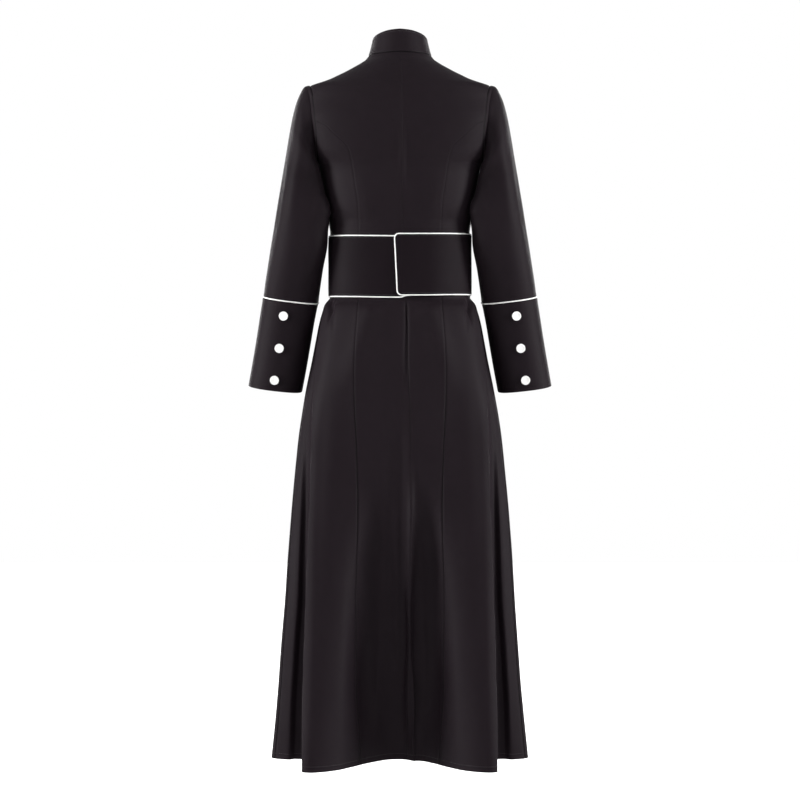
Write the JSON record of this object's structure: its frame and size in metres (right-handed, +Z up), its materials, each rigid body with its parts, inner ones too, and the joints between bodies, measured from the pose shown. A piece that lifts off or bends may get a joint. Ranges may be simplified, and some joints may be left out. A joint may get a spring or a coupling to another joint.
{
  "type": "cassock",
  "caption": "Full-length black cassock with princess seams, stand collar, piped cuffs with white buttons and a wide piped belt, standing hollow as worn.",
  "frame": {"origin": "middle of the neck opening, level with the collar seam, where the wearer's shoulders hold the garment", "axes": "+Z up, towards the collar; -Y is the wearer's front; +X is the wearer's left"},
  "size_m": [0.6116, 0.3197, 1.4512],
  "materials": {
    "black_cloth": "smooth suiting, very dark, slight sheen",
    "white_piping": "woven piping, matt",
    "white_button": "satin"
  },
  "bodies": {
    "root": {"front_left": "black_cloth", "front_right": "black_cloth", "side_back_left": "black_cloth", "side_back_right": "black_cloth", "back_left": "black_cloth", "back_right": "black_cloth", "collar": "black_cloth", "belt": "black_cloth", "sleeve_left": "black_cloth", "sleeve_right": "black_cloth", "cuff_left": "black_cloth", "cuff_right": "black_cloth", "belt_piping": "white_piping", "cuff_piping_left": "white_piping", "cuff_piping_right": "white_piping", "cuff_button_left_1": "white_button", "cuff_button_left_2": "white_button", "cuff_button_left_3": "white_button", "cuff_button_right_1": "white_button", "cuff_button_right_2": "white_button", "cuff_button_right_3": "white_button"}
  },
  "joints": []
}
